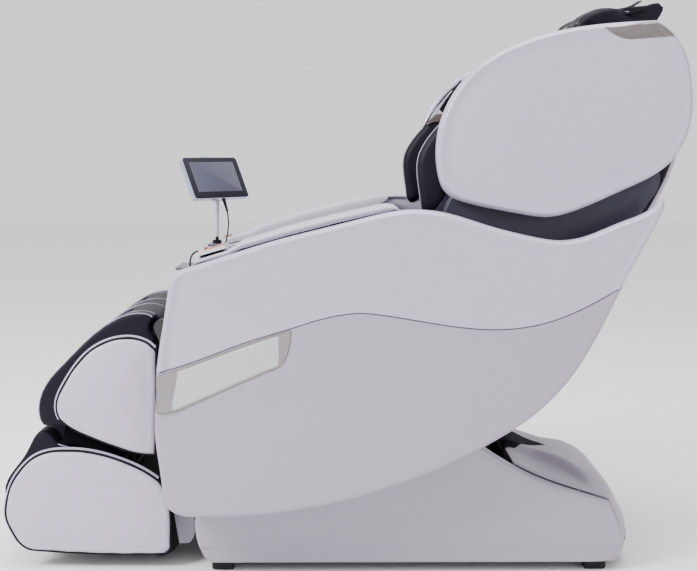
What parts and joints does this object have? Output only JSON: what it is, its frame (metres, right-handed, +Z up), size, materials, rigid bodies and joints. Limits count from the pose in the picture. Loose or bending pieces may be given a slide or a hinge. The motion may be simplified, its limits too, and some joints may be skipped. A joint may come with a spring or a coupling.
{
  "type": "massage chair",
  "caption": "Full-body massage chair: rocking seat unit on a floor base, reclining winged backrest, lifting calf and foot unit, and a tablet remote on a post.",
  "frame": {"origin": "on the floor under the centre of the chair's bounding box, backrest upright as stored", "axes": "+Z up; the sitter faces -X; the chair's left side is at -Y"},
  "size_m": [1.5522, 0.83, 1.3333],
  "materials": {
    "pearl_shell": "pearl ivory paint with a fine grain",
    "pearl_shell_low": "pearl taupe-grey paint with a fine grain",
    "trim_silver": "satin champagne silver",
    "trim_taupe": "gloss taupe",
    "leather_dark": "soft dark aubergine synthetic leather",
    "leather_pale": "pale lavender-white synthetic leather",
    "leather_slate": "slate synthetic leather",
    "plastic_dark": "textured black plastic",
    "plastic_grey": "smooth grey plastic",
    "key_copper": "copper-coloured keys",
    "steel_frame": "black powder coat",
    "steel_bright": "ground steel",
    "rubber_black": "black rubber",
    "wheel_grey": "soft grey massage wheel",
    "fabric_black": "pleated black cloth",
    "tablet_body": "silver-blue case with a dark glass front"
  },
  "bodies": {
    "base": {"base_frame": "steel_frame", "base_cover_left": "pearl_shell_low", "base_cover_right": "pearl_shell_low", "base_rear_cover": "pearl_shell_low", "rubber_feet": "rubber_black", "power_inlet": "plastic_dark"},
    "power_rocker": {"power_switch": "plastic_dark"},
    "drive_axle": {"drive_axle": "steel_bright"},
    "rear_track_rollers": {"rear_track_rollers": "steel_bright"},
    "seat": {"seat_frame": "steel_frame", "side_upper_left": "pearl_shell", "side_upper_right": "pearl_shell", "side_lower_left": "pearl_shell_low", "side_lower_right": "pearl_shell_low", "badge_plates": "trim_silver", "arm_pad_left": "leather_pale", "arm_pad_right": "leather_pale", "arm_linings": "leather_pale", "seat_cushion": "leather_dark", "arm_front_plates": "plastic_dark", "control_pod": "pearl_shell", "arm_cable": "rubber_black", "tablet_cable": "rubber_black"},
    "back_key": {"key_back": "key_copper"},
    "leg_key": {"key_legs": "key_copper"},
    "tablet_post": {"tablet_post": "plastic_grey"},
    "tablet": {"tablet_case": "tablet_body", "cable_plug": "plastic_dark"},
    "backrest": {"back_frame": "steel_frame", "wing_left": "pearl_shell", "wing_right": "pearl_shell", "wing_trims": "trim_taupe", "shoulder_pad_left": "leather_dark", "shoulder_pad_right": "leather_dark", "back_side_left": "leather_slate", "back_side_right": "leather_slate", "back_rear_cover": "pearl_shell_low", "back_pad": "leather_dark", "head_pillow": "leather_dark"},
    "lift_screw": {"lift_screw": "steel_bright"},
    "carriage": {"carriage": "steel_frame"},
    "massage_arm_left": {"massage_arm_left": "steel_frame"},
    "massage_arm_right": {"massage_arm_right": "steel_frame"},
    "wheel_lower_left": {"massage_wheel_lower_left": "wheel_grey"},
    "wheel_upper_left": {"massage_wheel_upper_left": "wheel_grey"},
    "wheel_lower_right": {"massage_wheel_lower_right": "wheel_grey"},
    "wheel_upper_right": {"massage_wheel_upper_right": "wheel_grey"},
    "back_actuator": {"back_actuator": "steel_frame"},
    "back_rod": {"back_rod": "steel_bright"},
    "leg_actuator": {"leg_actuator": "steel_frame"},
    "leg_rod": {"leg_rod": "steel_bright"},
    "calf": {"calf_frame": "steel_frame", "calf_pads": "leather_dark", "calf_side_panels": "leather_pale", "leg_bellows": "fabric_black"},
    "foot": {"foot_frame": "steel_frame", "foot_pads": "leather_dark", "foot_side_panels": "leather_pale", "foot_lower_shell": "pearl_shell_low"}
  },
  "joints": [
    {"name": "seat_swing", "type": "hinge", "parent": "base", "child": "seat", "pos_m": [-0.284, 0, 1.429], "axis": [0, 1, 0], "range_deg": [0, 8]},
    {"name": "drive_axle_spin", "type": "hinge", "parent": "base", "child": "drive_axle", "pos_m": [-0.18021, 0, 0.19305], "axis": [0, 1, 0], "continuous": true},
    {"name": "track_roller_spin", "type": "hinge", "parent": "base", "child": "rear_track_rollers", "pos_m": [0.20062, 0, 0.2873], "axis": [0, 1, 0], "continuous": true},
    {"name": "power_rocker_tip", "type": "hinge", "parent": "base", "child": "power_rocker", "pos_m": [0.6925, -0.109, 0.054], "axis": [0, 0, 1], "range_deg": [-4, 4]},
    {"name": "recline", "type": "hinge", "parent": "seat", "child": "backrest", "pos_m": [0.215, 0, 0.455], "axis": [0, 1, 0], "range_deg": [0, 36]},
    {"name": "back_actuator_swing", "type": "hinge", "parent": "seat", "child": "back_actuator", "pos_m": [-0.15, 0, 0.36], "axis": [0, 1, 0], "range_deg": [-1, 0]},
    {"name": "back_rod_slide", "type": "slide", "parent": "back_actuator", "child": "back_rod", "axis": [0.9995, 0, 0.0328], "range_m": [-0.053, 0]},
    {"name": "carriage_lift", "type": "slide", "parent": "backrest", "child": "carriage", "axis": [0.515, 0, 0.8572], "range_m": [0, 0.42]},
    {"name": "lift_screw_spin", "type": "hinge", "parent": "backrest", "child": "lift_screw", "pos_m": [0.53245, 0, 0.73091], "axis": [0.515, 0, 0.8572], "continuous": true},
    {"name": "tap_left", "type": "hinge", "parent": "carriage", "child": "massage_arm_left", "pos_m": [0.40545, 0, 0.59722], "axis": [0, 1, 0], "range_deg": [-8, 8]},
    {"name": "tap_right", "type": "hinge", "parent": "carriage", "child": "massage_arm_right", "pos_m": [0.40545, 0, 0.59722], "axis": [0, 1, 0], "range_deg": [-8, 8]},
    {"name": "wheel_lower_left_spin", "type": "hinge", "parent": "massage_arm_left", "child": "wheel_lower_left", "pos_m": [0.35569, 0, 0.55712], "axis": [0, 1, 0], "continuous": true},
    {"name": "wheel_upper_left_spin", "type": "hinge", "parent": "massage_arm_left", "child": "wheel_upper_left", "pos_m": [0.4175, 0, 0.65998], "axis": [0, 1, 0], "continuous": true},
    {"name": "wheel_lower_right_spin", "type": "hinge", "parent": "massage_arm_right", "child": "wheel_lower_right", "pos_m": [0.35569, 0, 0.55712], "axis": [0, 1, 0], "continuous": true},
    {"name": "wheel_upper_right_spin", "type": "hinge", "parent": "massage_arm_right", "child": "wheel_upper_right", "pos_m": [0.4175, 0, 0.65998], "axis": [0, 1, 0], "continuous": true},
    {"name": "calf_lift", "type": "hinge", "parent": "seat", "child": "calf", "pos_m": [-0.405, 0, 0.57], "axis": [0, 1, 0], "range_deg": [0, 70]},
    {"name": "foot_extend", "type": "slide", "parent": "calf", "child": "foot", "axis": [-0.309, 0, -0.9511], "range_m": [0, 0.12], "deforming": ["leg_bellows"]},
    {"name": "leg_actuator_swing", "type": "hinge", "parent": "seat", "child": "leg_actuator", "pos_m": [-0.12, 0, 0.44], "axis": [0, 1, 0], "range_deg": [0, 5]},
    {"name": "leg_rod_slide", "type": "slide", "parent": "leg_actuator", "child": "leg_rod", "axis": [-0.9806, 0, 0.1961], "range_m": [0, 0.082]},
    {"name": "back_key_tip", "type": "hinge", "parent": "seat", "child": "back_key", "pos_m": [-0.27566, -0.342, 0.7599], "axis": [0, 1, 0], "range_deg": [-3, 3], "stiffness_Nm_per_rad": 0.6},
    {"name": "leg_key_tip", "type": "hinge", "parent": "seat", "child": "leg_key", "pos_m": [-0.25547, -0.342, 0.76569], "axis": [0, 1, 0], "range_deg": [-3, 3], "stiffness_Nm_per_rad": 0.6},
    {"name": "tablet_swivel", "type": "hinge", "parent": "seat", "child": "tablet_post", "pos_m": [-0.329, 0.334, 0.73], "axis": [0, 0, 1], "range_deg": [-40, 40], "deforming": ["tablet_cable"]},
    {"name": "tablet_tilt", "type": "hinge", "parent": "tablet_post", "child": "tablet", "pos_m": [-0.32575, 0.31529, 0.84688], "axis": [0.6756, 0.7373, 0], "range_deg": [-15, 15]}
  ],
  "couplings": [
    {"joint": "drive_axle_spin", "follows": "seat_swing", "ratio": -48.6},
    {"joint": "track_roller_spin", "follows": "seat_swing", "ratio": -48.6},
    {"joint": "back_actuator_swing", "follows": "recline", "ratio": -0.02564},
    {"joint": "back_rod_slide", "follows": "recline", "m_per_rad": -0.082956},
    {"joint": "lift_screw_spin", "follows": "carriage_lift", "rad_per_m": 314.16},
    {"joint": "tap_right", "follows": "tap_left", "ratio": -1},
    {"joint": "foot_extend", "follows": "calf_lift", "m_per_rad": 0.0982},
    {"joint": "leg_actuator_swing", "follows": "calf_lift", "ratio": 0.06447},
    {"joint": "leg_rod_slide", "follows": "calf_lift", "m_per_rad": 0.066445}
  ]
}
